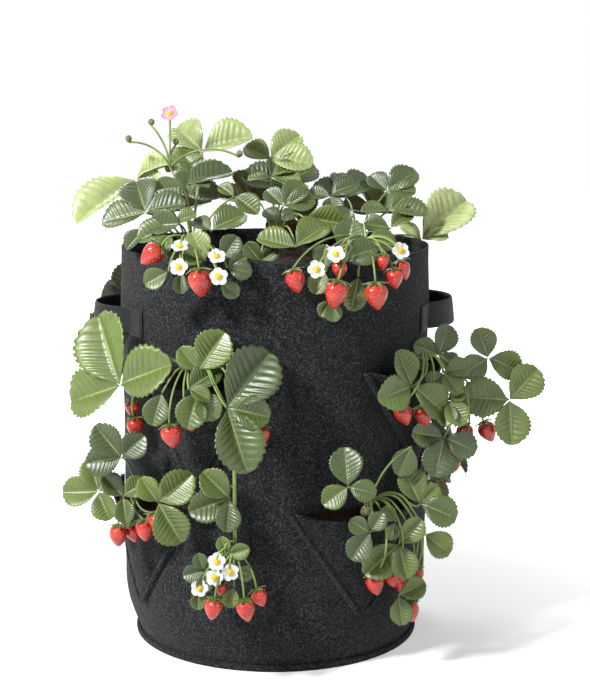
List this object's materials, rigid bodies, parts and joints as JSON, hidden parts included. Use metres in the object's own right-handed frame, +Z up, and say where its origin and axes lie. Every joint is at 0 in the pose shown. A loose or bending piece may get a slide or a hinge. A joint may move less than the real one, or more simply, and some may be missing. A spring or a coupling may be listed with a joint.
{
  "type": "strawberry grow bag",
  "caption": "Free-standing felt grow bag with side pockets and two webbing lifting handles, filled with potting mix and planted with fruiting strawberries",
  "frame": {"origin": "the middle of the base's underside, on the floor", "axes": "+Z up along the bag's axis; -Y is the pictured front, +X is its right-hand handle side"},
  "size_m": [0.5309, 0.4715, 0.6056],
  "materials": {
    "felt": "matte needle-punched charcoal felt",
    "binding": "matte felt seam",
    "webbing": "ribbed charcoal webbing",
    "thread": "black sewing thread",
    "soil": "dark crumbly potting mix of bark and peat",
    "leaf": "serrated pleated leaf, slightly glossy",
    "stalk": "pale green stalk",
    "berry": "glossy red fruit with seeds",
    "petal": "white petals with a yellow eye"
  },
  "bodies": {
    "bag": {"back_seam": "felt", "bag_base": "felt", "bag_wall": "felt", "base_binding": "binding", "berries_lower_front_left": "berry", "berries_lower_front_right": "berry", "berries_rear": "berry", "berries_rim_left": "berry", "berries_rim_right": "berry", "berries_upper_front_left": "berry", "berries_upper_front_right": "berry", "flowers_rim_left": "petal", "flowers_rim_right": "petal", "flowers_top": "petal", "handle_sewn_ends": "webbing", "handle_stitching": "thread", "leaves_lower_front_left": "leaf", "leaves_lower_front_right": "leaf", "leaves_lower_rear_left": "leaf", "leaves_lower_rear_right": "leaf", "leaves_rim_left": "leaf", "leaves_rim_right": "leaf", "leaves_top_left": "leaf", "leaves_top_middle": "leaf", "leaves_top_right": "leaf", "leaves_upper_front_left": "leaf", "leaves_upper_front_right": "leaf", "leaves_upper_rear_left": "leaf", "leaves_upper_rear_right": "leaf", "pocket_lower_front_left": "felt", "pocket_lower_front_right": "felt", "pocket_lower_rear_left": "felt", "pocket_lower_rear_right": "felt", "pocket_upper_front_left": "felt", "pocket_upper_front_right": "felt", "pocket_upper_rear_left": "felt", "pocket_upper_rear_right": "felt", "soil_core": "soil", "soil_pockets": "soil", "stalks_lower_front_left": "stalk", "stalks_lower_front_right": "stalk", "stalks_lower_rear_left": "stalk", "stalks_lower_rear_right": "stalk", "stalks_rim_left": "stalk", "stalks_rim_right": "stalk", "stalks_top_flower": "stalk", "stalks_top_left": "stalk", "stalks_top_middle": "stalk", "stalks_top_right": "stalk", "stalks_upper_front_left": "stalk", "stalks_upper_front_right": "stalk", "stalks_upper_rear_left": "stalk", "stalks_upper_rear_right": "stalk"},
    "handle_left": {"handle_left": "webbing"},
    "handle_right": {"handle_right": "webbing"},
    "runner": {"runner_berries": "berry", "runner_flowers": "petal", "runner_leaves": "leaf", "runner_stem": "stalk"}
  },
  "joints": [
    {"name": "handle_left_lift", "type": "hinge", "parent": "bag", "child": "handle_left", "pos_m": [-0.16677, -0.0165, 0.389], "axis": [-0.0985, 0.9951, 0], "range_deg": [0, 75]},
    {"name": "handle_right_lift", "type": "hinge", "parent": "bag", "child": "handle_right", "pos_m": [0.16677, 0.0165, 0.389], "axis": [0.0985, -0.9951, 0], "range_deg": [0, 75]},
    {"name": "runner_swing", "type": "hinge", "parent": "bag", "child": "runner", "pos_m": [-0.0445, -0.2, 0.292], "axis": [0, 1, 0], "range_deg": [-8, 8]}
  ]
}
